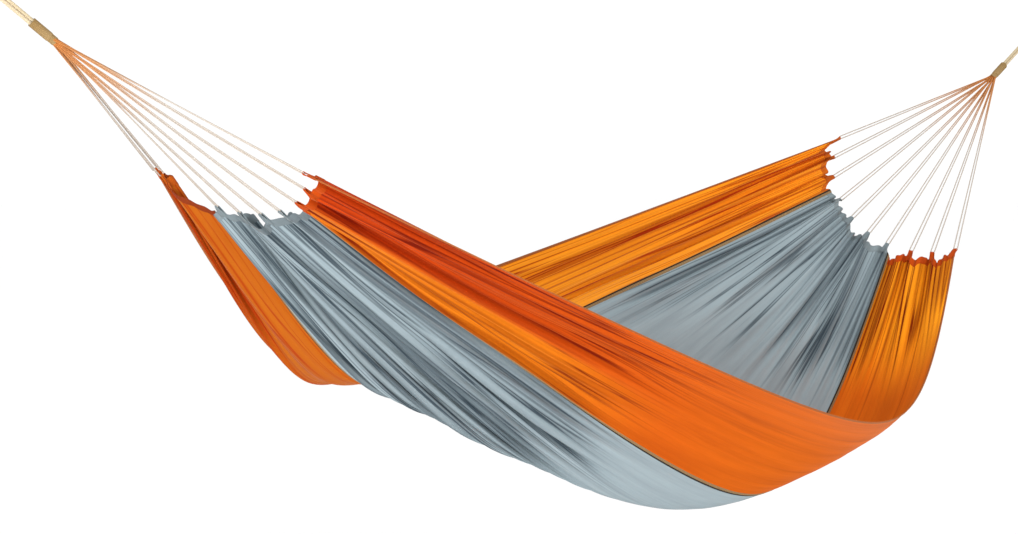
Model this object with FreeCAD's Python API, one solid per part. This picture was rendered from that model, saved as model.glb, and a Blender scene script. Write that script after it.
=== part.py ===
"""Travel hammock hung between two points, loaded by somebody lying across it.

Frame, in millimetres: the origin is the inside of the left hanging eye, where a hook bears. +X runs to the
right hanging eye, which is level with it, +Y is the far side, and +Z is up.

The cloth is one sheet of three lengthwise panels. It is worked out thread by thread: each lengthwise thread
leaves a peak of the left end edge, dips to a low point and climbs to a peak of the right end edge. Across the
cloth, v runs from 0 at the far side hem to 1 at the near side hem. Along it, distances are measured on the thread.
"""
import FreeCAD, Part
import math
import os

Vec = FreeCAD.Vector

# ---- hanging points and necks ----
SPAN = 2830.0              # between the two hanging eyes
NECK_LENGTH = 215.0        # from a hanging eye to the neck where the cords fan out
NECK_SLOPE = 38.0          # degrees below level, at both ends
NECK_X = NECK_LENGTH * math.cos(math.radians(NECK_SLOPE))
NECK_Z = NECK_LENGTH * math.sin(math.radians(NECK_SLOPE))

# ---- eye rope and whipping ----
ROPE_DIAMETER = 6.8
LEG_OFFSET = 3.45          # the two legs of an eye lie side by side in the whipping
EYE_INSIDE_RADIUS = 12.0
LEGS_PART_AT = 80.0        # from the hanging eye, where the legs start to spread
EYE_WIDE_AT = 24.0
WHIPPING_LENGTH = 45.0
WHIPPING_RADIUS = 9.2
WHIPPING_BORE = 7.0
WHIPPING_EDGE = 1.2
NECK_CLEARANCE = 4.0       # between the whipping's mouth and the cords that swing under it

# ---- cords ----
CORD_DIAMETER = 2.3
SLOT_PITCH = 2.5
SLOT_COLUMNS = (2, 4, 4, 4, 4, 2)   # strands in each column of the bundle at the neck, far side first
BIGHT_RADIUS = 5.0         # half the distance between a cord's two strands at a peak

# ---- cloth ----
CLOTH_WIDTH = 1400.0       # flat, from side hem to side hem
CLOTH = 1.0
SIDE_HEM = 15.0
SIDE_HEM_THICKNESS = 2.0
SEAM = 12.0
SEAM_THICKNESS = 1.8
END_HEM = 20.0
END_HEM_THICKNESS = 1.8
OUTER_PANEL = 400.0        # flat width of each outer panel, so the middle one is 600
PIECE_GAP = 0.5            # between neighbouring pieces of cloth, lengthwise
END_GAP = 6.0              # between an end hem and the rest of the cloth
SCALLOP = 26.0             # how far the end edge falls back between two peaks, at most
SCALLOP_SHARE = 0.3        # of the distance between the two peaks

# ---- fabric ears that the cords pass through ----
EAR_WIDTH = 6.5
EAR_INSIDE = 2.8
EAR_WALL = 1.2
EAR_LENGTH = 12.0
EAR_REACH = EAR_LENGTH + EAR_INSIDE + EAR_WALL
EAR_GAP = 1.5              # between an ear and the end hem it is sewn to

# ---- where the cords hold the cloth: ten peaks at each end ----
PEAKS = (0.0, 0.105, 0.21, 0.335, 0.445, 0.555, 0.665, 0.79, 0.895, 1.0)
FAR_SEAM = OUTER_PANEL / CLOTH_WIDTH
NEAR_SEAM = 1 - FAR_SEAM
# place of each part of the end edge on its fan, from -1 at the far corner to 1 at the near one
LEFT_EDGE = (0.0, SIDE_HEM / CLOTH_WIDTH) + PEAKS[1:]
LEFT_FAN = (-1.0, -0.99, -0.97, -0.94, -0.42, -0.18, 0.06, 0.30, 0.56, 0.80, 1.0)   # the far peaks are bunched
GATHERED = 3               # how many far peaks at the left end lie bunched, ear against ear
# each fan: powers of its place for azimuth and slope in degrees, and for cord length
FANS = {
    "left": {"azimuth": (4, -45, -4), "slope": (38, -1, -11, 1), "length": (525, 5)},
    "right": {"azimuth": (16, -37, -6), "slope": (45, 18, -8, -3), "length": (540, 65, -55)},
}

# ---- the belly: the point that each thread is pulled towards, and how hard ----
STATIONS = (0.0, 0.13, FAR_SEAM, 0.5, NEAR_SEAM, 0.87, 1.0)
BELLY_X = (785, 810, 830, 1335, 1780, 2010, 1930)
BELLY_Y = (430, 280, 60, -80, -170, -270, -450)
BELLY_Z = (-780, -865, -875, -1150, -1235, -1110, -1025)
PULL = (7.0, 12.0, 8.5, 6.5, 4.5, 4.5, 4.0)
THREAD_STEPS = 90          # steps along a thread when it is measured
EDGE_STEPS = 4             # rows of cloth from one ear to the next


def curve_through(stations, values, v):
    """Smooth curve through the stations: a natural cubic spline."""
    count = len(stations)
    width = [b - a for a, b in zip(stations, stations[1:])]
    rise = [(b - a) / w for a, b, w in zip(values, values[1:], width)]
    bend = [0.0] * count
    pivot, right = [1.0] * count, [0.0] * count
    for k in range(1, count - 1):
        share = width[k - 1] / pivot[k - 1] if k > 1 else 0.0
        pivot[k] = 2 * (width[k - 1] + width[k]) - share * width[k - 1]
        right[k] = 6 * (rise[k] - rise[k - 1]) - share * right[k - 1]
    for k in range(count - 2, 0, -1):
        bend[k] = (right[k] - width[k] * bend[k + 1]) / pivot[k]
    i = min(max(k for k in range(count) if k == 0 or stations[k] <= v), count - 2)
    a, b = stations[i + 1] - v, v - stations[i]
    w = width[i]
    return ((bend[i] * a ** 3 + bend[i + 1] * b ** 3) / (6 * w)
            + (values[i] / w - bend[i] * w / 6) * a + (values[i + 1] / w - bend[i + 1] * w / 6) * b)


def line_through(stations, values, v):
    """Straight pieces through the stations."""
    for k in range(len(stations) - 1):
        if v <= stations[k + 1]:
            t = (v - stations[k]) / (stations[k + 1] - stations[k])
            return values[k] + t * (values[k + 1] - values[k])
    return values[-1]


def powers(coefficients, s):
    return sum(c * s ** k for k, c in enumerate(coefficients))


def sign(side):
    """1 where the bed is towards +X, -1 where it is towards -X."""
    return 1 if side == "left" else -1


def neck(side):
    return Vec(NECK_X if side == "left" else SPAN - NECK_X, 0, -NECK_Z)


def peak(side, v):
    """Point of the end edge's fan for thread v."""
    s = line_through(LEFT_EDGE, LEFT_FAN, v) if side == "left" else 2 * v - 1
    fan = FANS[side]
    azimuth = math.radians(powers(fan["azimuth"], s))
    slope = math.radians(powers(fan["slope"], s))
    reach = Vec(sign(side) * math.cos(azimuth) * math.cos(slope), math.sin(azimuth) * math.cos(slope),
                -math.sin(slope))
    return neck(side) + reach * powers(fan["length"], s)


class Thread:
    """A lengthwise thread: a conic from peak to peak, measured along itself."""

    def __init__(self, v):
        self.start = peak("left", v)
        self.end = peak("right", v)
        self.belly = Vec(*(curve_through(STATIONS, row, v) for row in (BELLY_X, BELLY_Y, BELLY_Z)))
        self.pull = curve_through(STATIONS, PULL, v)
        self.marks = [0.5 - 0.5 * math.cos(math.pi * k / THREAD_STEPS) for k in range(THREAD_STEPS + 1)]
        points = [self.conic(t) for t in self.marks]
        self.run = [0.0]
        for a, b in zip(points, points[1:]):
            self.run.append(self.run[-1] + a.distanceToPoint(b))
        self.length = self.run[-1]

    def conic(self, t):
        a, b, c = (1 - t) ** 2, 2 * self.pull * t * (1 - t), t * t
        return (self.start * a + self.belly * b + self.end * c) * (1 / (a + b + c))

    def at(self, distance):
        """Point at this distance from the left peak, along the thread."""
        return self.conic(line_through(self.run, self.marks, distance))


def edge_setback(side, v):
    """How far the end edge lies behind the peaks at thread v: the ears' reach, and a scallop between peaks."""
    k = max(i for i in range(len(PEAKS) - 1) if i == 0 or PEAKS[i] <= v)
    a, b = PEAKS[k], PEAKS[k + 1]
    fall = min(SCALLOP, SCALLOP_SHARE * peak(side, a).distanceToPoint(peak(side, b)))
    return EAR_REACH + EAR_GAP + fall * math.sin(math.pi * (v - a) / (b - a)) ** 2


def cloth_grid(v_values, shares, start, finish):
    """Rows of points, one per thread, from start(thread, v) to finish(thread, v) at the given shares."""
    rows = []
    for v in v_values:
        thread = Thread(v)
        a, b = start(thread, v), finish(thread, v)
        rows.append([thread.at(a + (b - a) * share) for share in shares])
    return rows


def skin(rows, thickness):
    """Closed solid of this thickness about a grid of points."""
    nu, nv = len(rows), len(rows[0])
    sides = []
    for half in (-0.5 * thickness, 0.5 * thickness):
        moved = []
        for i in range(nu):
            moved.append([])
            for j in range(nv):
                across = rows[min(i + 1, nu - 1)][j] - rows[max(i - 1, 0)][j]
                along = rows[i][min(j + 1, nv - 1)] - rows[i][max(j - 1, 0)]
                normal = along.cross(across)
                moved[-1].append(rows[i][j] + normal.normalize() * half)
        surface = Part.BSplineSurface()
        surface.interpolate(moved)
        sides.append(surface)
    lower, upper = sides
    u0, u1, v0, v1 = lower.bounds()
    p0, p1, q0, q1 = upper.bounds()
    walls = [Part.makeRuledSurface(lower.uIso(a).toShape(), upper.uIso(b).toShape()) for a, b in ((u0, p0), (u1, p1))]
    walls += [Part.makeRuledSurface(lower.vIso(a).toShape(), upper.vIso(b).toShape()) for a, b in ((v0, q0), (v1, q1))]
    shell = Part.makeShell([lower.toShape(), upper.toShape()] + walls)
    shell.sewShape()
    solid = Part.makeSolid(shell)
    if solid.Volume < 0:
        solid.reverse()
    return solid


def spread(a, b, steps):
    return [a + (b - a) * k / steps for k in range(steps + 1)]


ALONG = spread(0, 1, 26)
GAP = PIECE_GAP / CLOTH_WIDTH / 2
EDGE_ROWS = [v for a, b in zip(PEAKS, PEAKS[1:]) for v in spread(a, b, EDGE_STEPS)[:-1]] + [1.0]


def lengthwise(v0, v1, thickness):
    """A piece of cloth from one end hem to the other, between threads v0 and v1."""
    inset = END_HEM + END_GAP
    v0, v1 = v0 + GAP, v1 - GAP
    between = [v for v in EDGE_ROWS if v0 + 0.006 < v < v1 - 0.006] or [(v0 + v1) / 2]
    grid = cloth_grid([v0] + between + [v1], ALONG,
                      lambda thread, v: edge_setback("left", v) + inset,
                      lambda thread, v: thread.length - edge_setback("right", v) - inset)
    return skin(grid, thickness)


def end_hem(side):
    """The folded and sewn end edge: one scalloped length from each ear to the next."""
    lengths = []
    for a, b in zip(PEAKS, PEAKS[1:]):
        if side == "left":
            grid = cloth_grid(spread(a + GAP, b - GAP, EDGE_STEPS), (0, 0.5, 1),
                              lambda thread, v: edge_setback(side, v),
                              lambda thread, v: edge_setback(side, v) + END_HEM)
        else:
            grid = cloth_grid(spread(a + GAP, b - GAP, EDGE_STEPS), (0, 0.5, 1),
                              lambda thread, v: thread.length - edge_setback(side, v) - END_HEM,
                              lambda thread, v: thread.length - edge_setback(side, v))
        lengths.append(skin(grid, END_HEM_THICKNESS))
    return Part.makeCompound(lengths)


def tube(route, radii, diameter):
    """Round tube along straight runs joined by tangent arcs, one radius per inner point of the route."""
    edges = []
    here = route[0]
    for before, corner, after, radius in zip(route, route[1:], route[2:], radii):
        come = (corner - before).normalize()
        go = (after - corner).normalize()
        half_turn = come.getAngle(go) / 2
        reach = radius * math.tan(half_turn)
        first, last = corner - come * reach, corner + go * reach
        middle = corner + (go - come).normalize() * (radius / math.cos(half_turn) - radius)
        if here.distanceToPoint(first) > 1e-3:
            edges.append(Part.LineSegment(here, first).toShape())
        edges.append(Part.Arc(first, middle, last).toShape())
        here = last
    edges.append(Part.LineSegment(here, route[-1]).toShape())
    path = Part.Wire(edges)
    ring = Part.Circle(route[0], route[1] - route[0], diameter / 2).toShape()
    return path.makePipeShell([Part.Wire([ring])], True, False)


def neck_frame(side):
    """Directions at a neck: down along the cords, to the far side, and square to both."""
    slope = math.radians(NECK_SLOPE)
    down = Vec(sign(side) * math.cos(slope), 0, -math.sin(slope))
    far = Vec(0, 1, 0)
    return down, far, Vec(sign(side) * math.sin(slope), 0, math.cos(slope))


def neck_slots(side):
    """Places of the twenty strands in the neck, far side first."""
    down, far, top = neck_frame(side)
    slots = []
    columns = len(SLOT_COLUMNS)
    for column, count in enumerate(SLOT_COLUMNS):
        rising = side == "left" and column >= columns / 2
        bunched = side == "left" and column == 1        # two bunched cords take its rows in turn
        for row in ((0, 2, 1, 3) if bunched else range(count)):
            level = (count - 1) / 2 - row
            slots.append(neck(side) + far * (((columns - 1) / 2 - column) * SLOT_PITCH)
                         + top * ((-level if rising else level) * SLOT_PITCH))
    return slots


def peak_frame(side, index):
    """At a peak: point, direction up the cord, direction across its two strands, and the cloth's own direction."""
    v = PEAKS[index]
    thread = Thread(v)
    tip = peak(side, v)
    up_cord = (neck(side) - tip).normalize()
    inner = thread.at(EAR_REACH if side == "left" else thread.length - EAR_REACH)
    step = 0.02
    beside = peak(side, v + step if v < 0.5 else v - step) - tip
    if v >= 0.5:
        beside = -beside
    across = (-beside - up_cord * up_cord.dot(-beside)).normalize()     # towards the far side
    if side == "left" and index < GATHERED:
        across = up_cord.cross(across).normalize()
    return tip, up_cord, across, (tip - inner).normalize()


def cord(side, index, slots):
    """One cord: from the neck to its peak, round through the ear and back to the neck."""
    tip, up_cord, across, _ = peak_frame(side, index)
    first, second = slots[2 * index], slots[2 * index + 1]
    if (first - second).dot(across) < 0:
        first, second = second, first
    corners = [tip + across * BIGHT_RADIUS, tip - across * BIGHT_RADIUS]
    radius = 0.98 * BIGHT_RADIUS
    return tube([first] + corners + [second], (radius, radius), CORD_DIAMETER)


def ear(side, index):
    """A tape loop folded round the cord: a flat ring, its long way along the cloth."""
    tip, up_cord, across, outward = peak_frame(side, index)
    outward = (outward - across * outward.dot(across)).normalize()
    normal = outward.cross(across).normalize()

    def stadium(radius):
        top, bottom = tip, tip - outward * EAR_LENGTH
        a, b = normal * radius, outward * radius
        edges = [Part.Arc(top - a, top + b, top + a).toShape(), Part.LineSegment(top + a, bottom + a).toShape(),
                 Part.Arc(bottom + a, bottom - b, bottom - a).toShape(), Part.LineSegment(bottom - a, top - a).toShape()]
        face = Part.Face(Part.Wire(edges))
        face.translate(across * (-EAR_WIDTH / 2))
        return face.extrude(across * EAR_WIDTH)

    return stadium(EAR_INSIDE + EAR_WALL).cut(stadium(EAR_INSIDE))


def eye(side):
    """The rope eye that a hook holds: two legs side by side that part and close in a round saddle."""
    down, _, top = neck_frame(side)
    hook = Vec(0, 0, 0) if side == "left" else Vec(SPAN, 0, 0)
    wide = EYE_INSIDE_RADIUS + ROPE_DIAMETER / 2
    crown = -ROPE_DIAMETER / 2
    foot = NECK_LENGTH - NECK_CLEARANCE - 2.0
    half = [(foot, LEG_OFFSET), (LEGS_PART_AT, LEG_OFFSET), (EYE_WIDE_AT, wide), (crown, wide)]
    outline = half + [(along, -aside) for along, aside in reversed(half)]
    route = [hook + down * along + top * aside for along, aside in outline]
    saddle = 0.98 * wide
    return tube(route, (60, 30, saddle, saddle, 30, 60), ROPE_DIAMETER)


def whipping(side):
    """The bound sleeve round the legs of an eye, over the neck."""
    down, _, _ = neck_frame(side)
    mouth = neck(side) - down * NECK_CLEARANCE
    sleeve = Part.makeCylinder(WHIPPING_RADIUS, WHIPPING_LENGTH, mouth, down * -1)
    rims = [e for e in sleeve.Edges if isinstance(e.Curve, Part.Circle)]
    sleeve = sleeve.makeFillet(WHIPPING_EDGE, rims)
    bore = Part.makeCylinder(WHIPPING_BORE, WHIPPING_LENGTH + 2, mouth + down, down * -1)
    return sleeve.cut(bore)


def save(name, shape):
    shape.exportStep("parts/%s.step" % name)
    print("%-18s solids %2d valid %s volume %10.1f" % (name, len(shape.Solids), shape.isValid(), shape.Volume))


def main():
    os.makedirs("parts", exist_ok=True)
    hem = SIDE_HEM / CLOTH_WIDTH
    seam = SEAM / CLOTH_WIDTH / 2
    save("hem_far", lengthwise(0, hem, SIDE_HEM_THICKNESS))
    save("panel_far", lengthwise(hem, FAR_SEAM - seam, CLOTH))
    save("seam_far", lengthwise(FAR_SEAM - seam, FAR_SEAM + seam, SEAM_THICKNESS))
    save("panel_middle", lengthwise(FAR_SEAM + seam, NEAR_SEAM - seam, CLOTH))
    save("seam_near", lengthwise(NEAR_SEAM - seam, NEAR_SEAM + seam, SEAM_THICKNESS))
    save("panel_near", lengthwise(NEAR_SEAM + seam, 1 - hem, CLOTH))
    save("hem_near", lengthwise(1 - hem, 1, SIDE_HEM_THICKNESS))
    for side in ("left", "right"):
        save("end_hem_" + side, end_hem(side))
        save("ears_" + side, Part.makeCompound([ear(side, k) for k in range(len(PEAKS))]))
        slots = neck_slots(side)
        for k in range(len(PEAKS)):
            save("cord_%s_%02d" % (side, k + 1), cord(side, k, slots))
        save("whipping_" + side, whipping(side))
        save("eye_" + side, eye(side))


main()
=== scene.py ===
"""Looks of the travel hammock: cloth with its folds, hems and seams, cords, ears, whippings and hanging eyes.

Metres, in the part's frame: the origin is the saddle of the left hanging eye, +X runs to the right one, +Y to
the far side and +Z up. On the cloth, v runs across from 0 at the far hem to 1 at the near hem, and u along it
from 0 at the left end edge to 1 at the right one.
"""
import math

import bpy
import numpy as np
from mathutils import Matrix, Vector


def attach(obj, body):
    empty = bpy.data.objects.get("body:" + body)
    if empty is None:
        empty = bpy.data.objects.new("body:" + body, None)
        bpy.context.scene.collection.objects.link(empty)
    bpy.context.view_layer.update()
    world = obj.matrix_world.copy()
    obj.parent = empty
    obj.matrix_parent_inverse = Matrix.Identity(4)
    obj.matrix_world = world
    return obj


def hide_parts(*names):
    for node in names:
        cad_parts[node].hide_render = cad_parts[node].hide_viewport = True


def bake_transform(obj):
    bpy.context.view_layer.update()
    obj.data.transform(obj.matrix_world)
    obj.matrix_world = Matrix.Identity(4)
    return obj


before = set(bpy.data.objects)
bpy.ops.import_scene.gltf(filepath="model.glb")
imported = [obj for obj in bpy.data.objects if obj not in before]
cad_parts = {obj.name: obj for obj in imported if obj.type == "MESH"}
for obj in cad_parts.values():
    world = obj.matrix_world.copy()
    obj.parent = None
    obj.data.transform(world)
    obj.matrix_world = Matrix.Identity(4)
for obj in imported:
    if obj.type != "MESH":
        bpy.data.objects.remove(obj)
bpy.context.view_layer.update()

# ---- sizes shared with the solids ----
SPAN = 2.830
NECK_LENGTH = 0.215
NECK_SLOPE = math.radians(38)
NECK = np.array([NECK_LENGTH * math.cos(NECK_SLOPE), 0, -NECK_LENGTH * math.sin(NECK_SLOPE)])
CLOTH_WIDTH = 1.400
FAR_SEAM = 0.400 / 1.400
NEAR_SEAM = 1 - FAR_SEAM
SIDE_HEM = 0.015
SEAM = 0.012
END_HEM = 0.020
EAR_REACH = 0.0175         # from a peak down to the end edge of the cloth, at each side of its ear
EDGE_POINT = 0.007         # the cloth runs up into each ear as near as this to the peak
SCALLOP = 0.032            # how far the edge falls back between two peaks, at most
SCALLOP_SHARE = {"left": 0.28, "right": 0.42}
BIGHT = 0.005
CORD_RADIUS = 0.00145
SLOT_PITCH = 0.0025
SLOT_COLUMNS = (2, 4, 4, 4, 4, 2)
PEAKS = np.array([0.0, 0.105, 0.21, 0.335, 0.445, 0.555, 0.665, 0.79, 0.895, 1.0])
LEFT_EDGE = np.concatenate([[0.0, SIDE_HEM / CLOTH_WIDTH], PEAKS[1:]])
LEFT_FAN = np.array([-1.0, -0.99, -0.97, -0.94, -0.42, -0.18, 0.06, 0.30, 0.56, 0.80, 1.0])
NECK_END = 0.001           # each strand starts this far inside the neck
LOOP_END = 0.012           # the hanging loop's legs stop this far short of it, clear of strands that swing
BOUND_NECK = (-0.049, -0.007)      # from and to, down from the neck
NECK_WRAP = (-0.012, 0.006)        # the wrap over the gap that is left there
GATHERED = 3               # how many far peaks at the left end lie bunched, ear against ear
FANS = {
    "left": {"azimuth": (4, -45, -4), "slope": (38, -1, -11, 1), "length": (0.525, 0.005)},
    "right": {"azimuth": (16, -37, -6), "slope": (45, 18, -8, -3), "length": (0.540, 0.065, -0.055)},
}
STATIONS = np.array([0.0, 0.13, FAR_SEAM, 0.5, NEAR_SEAM, 0.87, 1.0])
BELLY = np.array([(785, 810, 830, 1335, 1780, 2010, 1930), (430, 280, 60, -80, -170, -270, -450),
                  (-780, -865, -875, -1150, -1235, -1110, -1025)]).T / 1000
PULL = np.array([7.0, 12.0, 8.5, 6.5, 4.5, 4.5, 4.0])

# ---- how finely the cloth is worked out ----
ACROSS = 401               # threads, so that every peak falls on one
ALONG = 181
ROUNDS = 160
LEAST_ROOM = 0.16          # the tightest that the folds are packed, as a share of the flat width


def natural_spline(stations, values, v):
    """Natural cubic spline through the stations, at each v."""
    h = np.diff(stations)
    n = len(stations)
    m = np.eye(n)
    rhs = np.zeros((n, values.shape[1]))
    for k in range(1, n - 1):
        m[k, k - 1:k + 2] = h[k - 1], 2 * (h[k - 1] + h[k]), h[k]
        rhs[k] = 6 * ((values[k + 1] - values[k]) / h[k] - (values[k] - values[k - 1]) / h[k - 1])
    bend = np.linalg.solve(m, rhs)
    i = np.clip(np.searchsorted(stations, v, side="right") - 1, 0, n - 2)
    a, b, w = (stations[i + 1] - v)[:, None], (v - stations[i])[:, None], h[i][:, None]
    return ((bend[i] * a ** 3 + bend[i + 1] * b ** 3) / (6 * w)
            + (values[i] / w - bend[i] * w / 6) * a + (values[i + 1] / w - bend[i + 1] * w / 6) * b)


def neck(side):
    """The point that all the cords of one end run to."""
    return NECK if side == "left" else np.array([SPAN, 0, 0]) + NECK * (-1, 1, 1)


def fan_tip(side, v):
    """Where thread v would meet the fan of cords: a direction and a cord length for each place across."""
    s = np.interp(v, LEFT_EDGE, LEFT_FAN) if side == "left" else 2 * np.asarray(v) - 1
    azimuth, slope, length = (np.polyval(FANS[side][k][::-1], s) for k in ("azimuth", "slope", "length"))
    azimuth, slope = np.radians(azimuth), np.radians(slope)
    sign = 1 if side == "left" else -1
    level = np.cos(slope)
    way = np.stack([sign * np.cos(azimuth) * level, np.sin(azimuth) * level, -np.sin(slope)], -1)
    return neck(side) + way * np.asarray(length)[..., None]


def interval(v):
    """Which stretch from peak to peak v lies in, and its place there from 0 to 1."""
    k = np.clip(np.searchsorted(PEAKS, v, side="right") - 1, 0, len(PEAKS) - 2)
    return k, (v - PEAKS[k]) / (PEAKS[k + 1] - PEAKS[k])


def setback(side, v):
    """How far the end edge lies behind the peaks: it falls back almost straight from near each peak to
    halfway to the next one, by the rest of the ears' reach and a share of the distance between the two peaks,
    and by half of that at the near left."""
    k, place_ = interval(v)
    tips = fan_tip(side, PEAKS)
    fall = np.minimum(SCALLOP, SCALLOP_SHARE[side] * np.linalg.norm(np.diff(tips, axis=0), axis=1))
    shallow = 1 - 0.5 * (smooth_step((v - 0.76) / 0.04) if side == "left" else 0)
    return EDGE_POINT + shallow * (EAR_REACH - EDGE_POINT + fall[k]) * (1 - np.abs(1 - 2 * place_) ** 1.25)


def base_cloth(v, u):
    """The smooth cloth: threads as conics from fan tip to fan tip, pulled to the belly points, in even
    steps."""
    tips = fan_tip("left", v), fan_tip("right", v)
    belly = natural_spline(STATIONS, BELLY, v)
    pull = natural_spline(STATIONS, PULL[:, None], v)[:, 0]
    t = (0.5 - 0.5 * np.cos(np.pi * np.linspace(0, 1, 161)))[None, :, None]
    a, b, c = (1 - t) ** 2, 2 * pull[:, None, None] * t * (1 - t), t ** 2
    fine = (a * tips[0][:, None] + b * belly[:, None] + c * tips[1][:, None]) / (a + b + c)
    steps = np.linalg.norm(np.diff(fine, axis=1), axis=2)
    run = np.concatenate([np.zeros((len(v), 1)), np.cumsum(steps, 1)], 1)
    back = setback("left", v), setback("right", v)
    out = np.empty((len(v), len(u), 3))
    for k in range(len(v)):
        where = back[0][k] + u * (run[k, -1] - back[0][k] - back[1][k])
        out[k] = np.stack([np.interp(where, run[k], fine[k, :, j]) for j in range(3)], -1)
    return out, run[:, -1]


def unit(a):
    """Each vector over its own length."""
    return a / np.maximum(np.linalg.norm(a, axis=-1, keepdims=True), 1e-12)


def smooth_step(x):
    """0 below 0, 1 above 1, and the cubic 3x^2 - 2x^3 between."""
    x = np.clip(x, 0, 1)
    return x * x * (3 - 2 * x)


def blur(field, times, axis):
    """Repeated 1-2-1 average along one axis, with the ends held."""
    f = np.moveaxis(field.copy(), axis, 0)
    for _ in range(times):
        f[1:-1] = 0.25 * f[:-2] + 0.5 * f[1:-1] + 0.25 * f[2:]
    return np.moveaxis(f, 0, axis)


def drop_line(field, knots):
    """Takes off the straight pieces through the field's values at the knot rows, so that it is 0 there."""
    rows = np.arange(len(field))
    k = np.clip(np.searchsorted(knots, rows, side="right") - 1, 0, len(knots) - 2)
    t = ((rows - knots[k]) / (knots[k + 1] - knots[k]))[:, None]
    return field - (field[knots[k]] * (1 - t) + field[knots[k + 1]] * t)


def fold_slope(phase, share):
    """Slope across a fold, from 1 to -1 over the rounded ridge centred on each whole phase, which takes this
    share of it, and back from -1 to 1 through the crease between two ridges."""
    x = (phase + 0.5 * share) % 1.0
    return np.where(x < share, 1 - 2 * x / share, -1 + 2 * (x - share) / (1 - share))


def hold(p, a, b, rest, push, pull):
    """Moves the two ends of each link towards their rest distance: push where too near, pull where too
    far."""
    d = p[b] - p[a]
    length = np.maximum(np.linalg.norm(d, axis=-1), 1e-9)
    error = length - rest
    step = (np.where(error > 0, pull, push) * error / length * 0.5)[..., None] * d
    p[a] += step
    p[b] -= step


def links(axis, start):
    """Index pairs of every second link of the grid along one axis, so that no point is in two of them."""
    first = np.arange(start, (ACROSS if axis == 0 else ALONG) - 1, 2)
    if axis == 0:
        return (first, slice(None)), (first + 1, slice(None))
    return (slice(None), first), (slice(None), first + 1)


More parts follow.
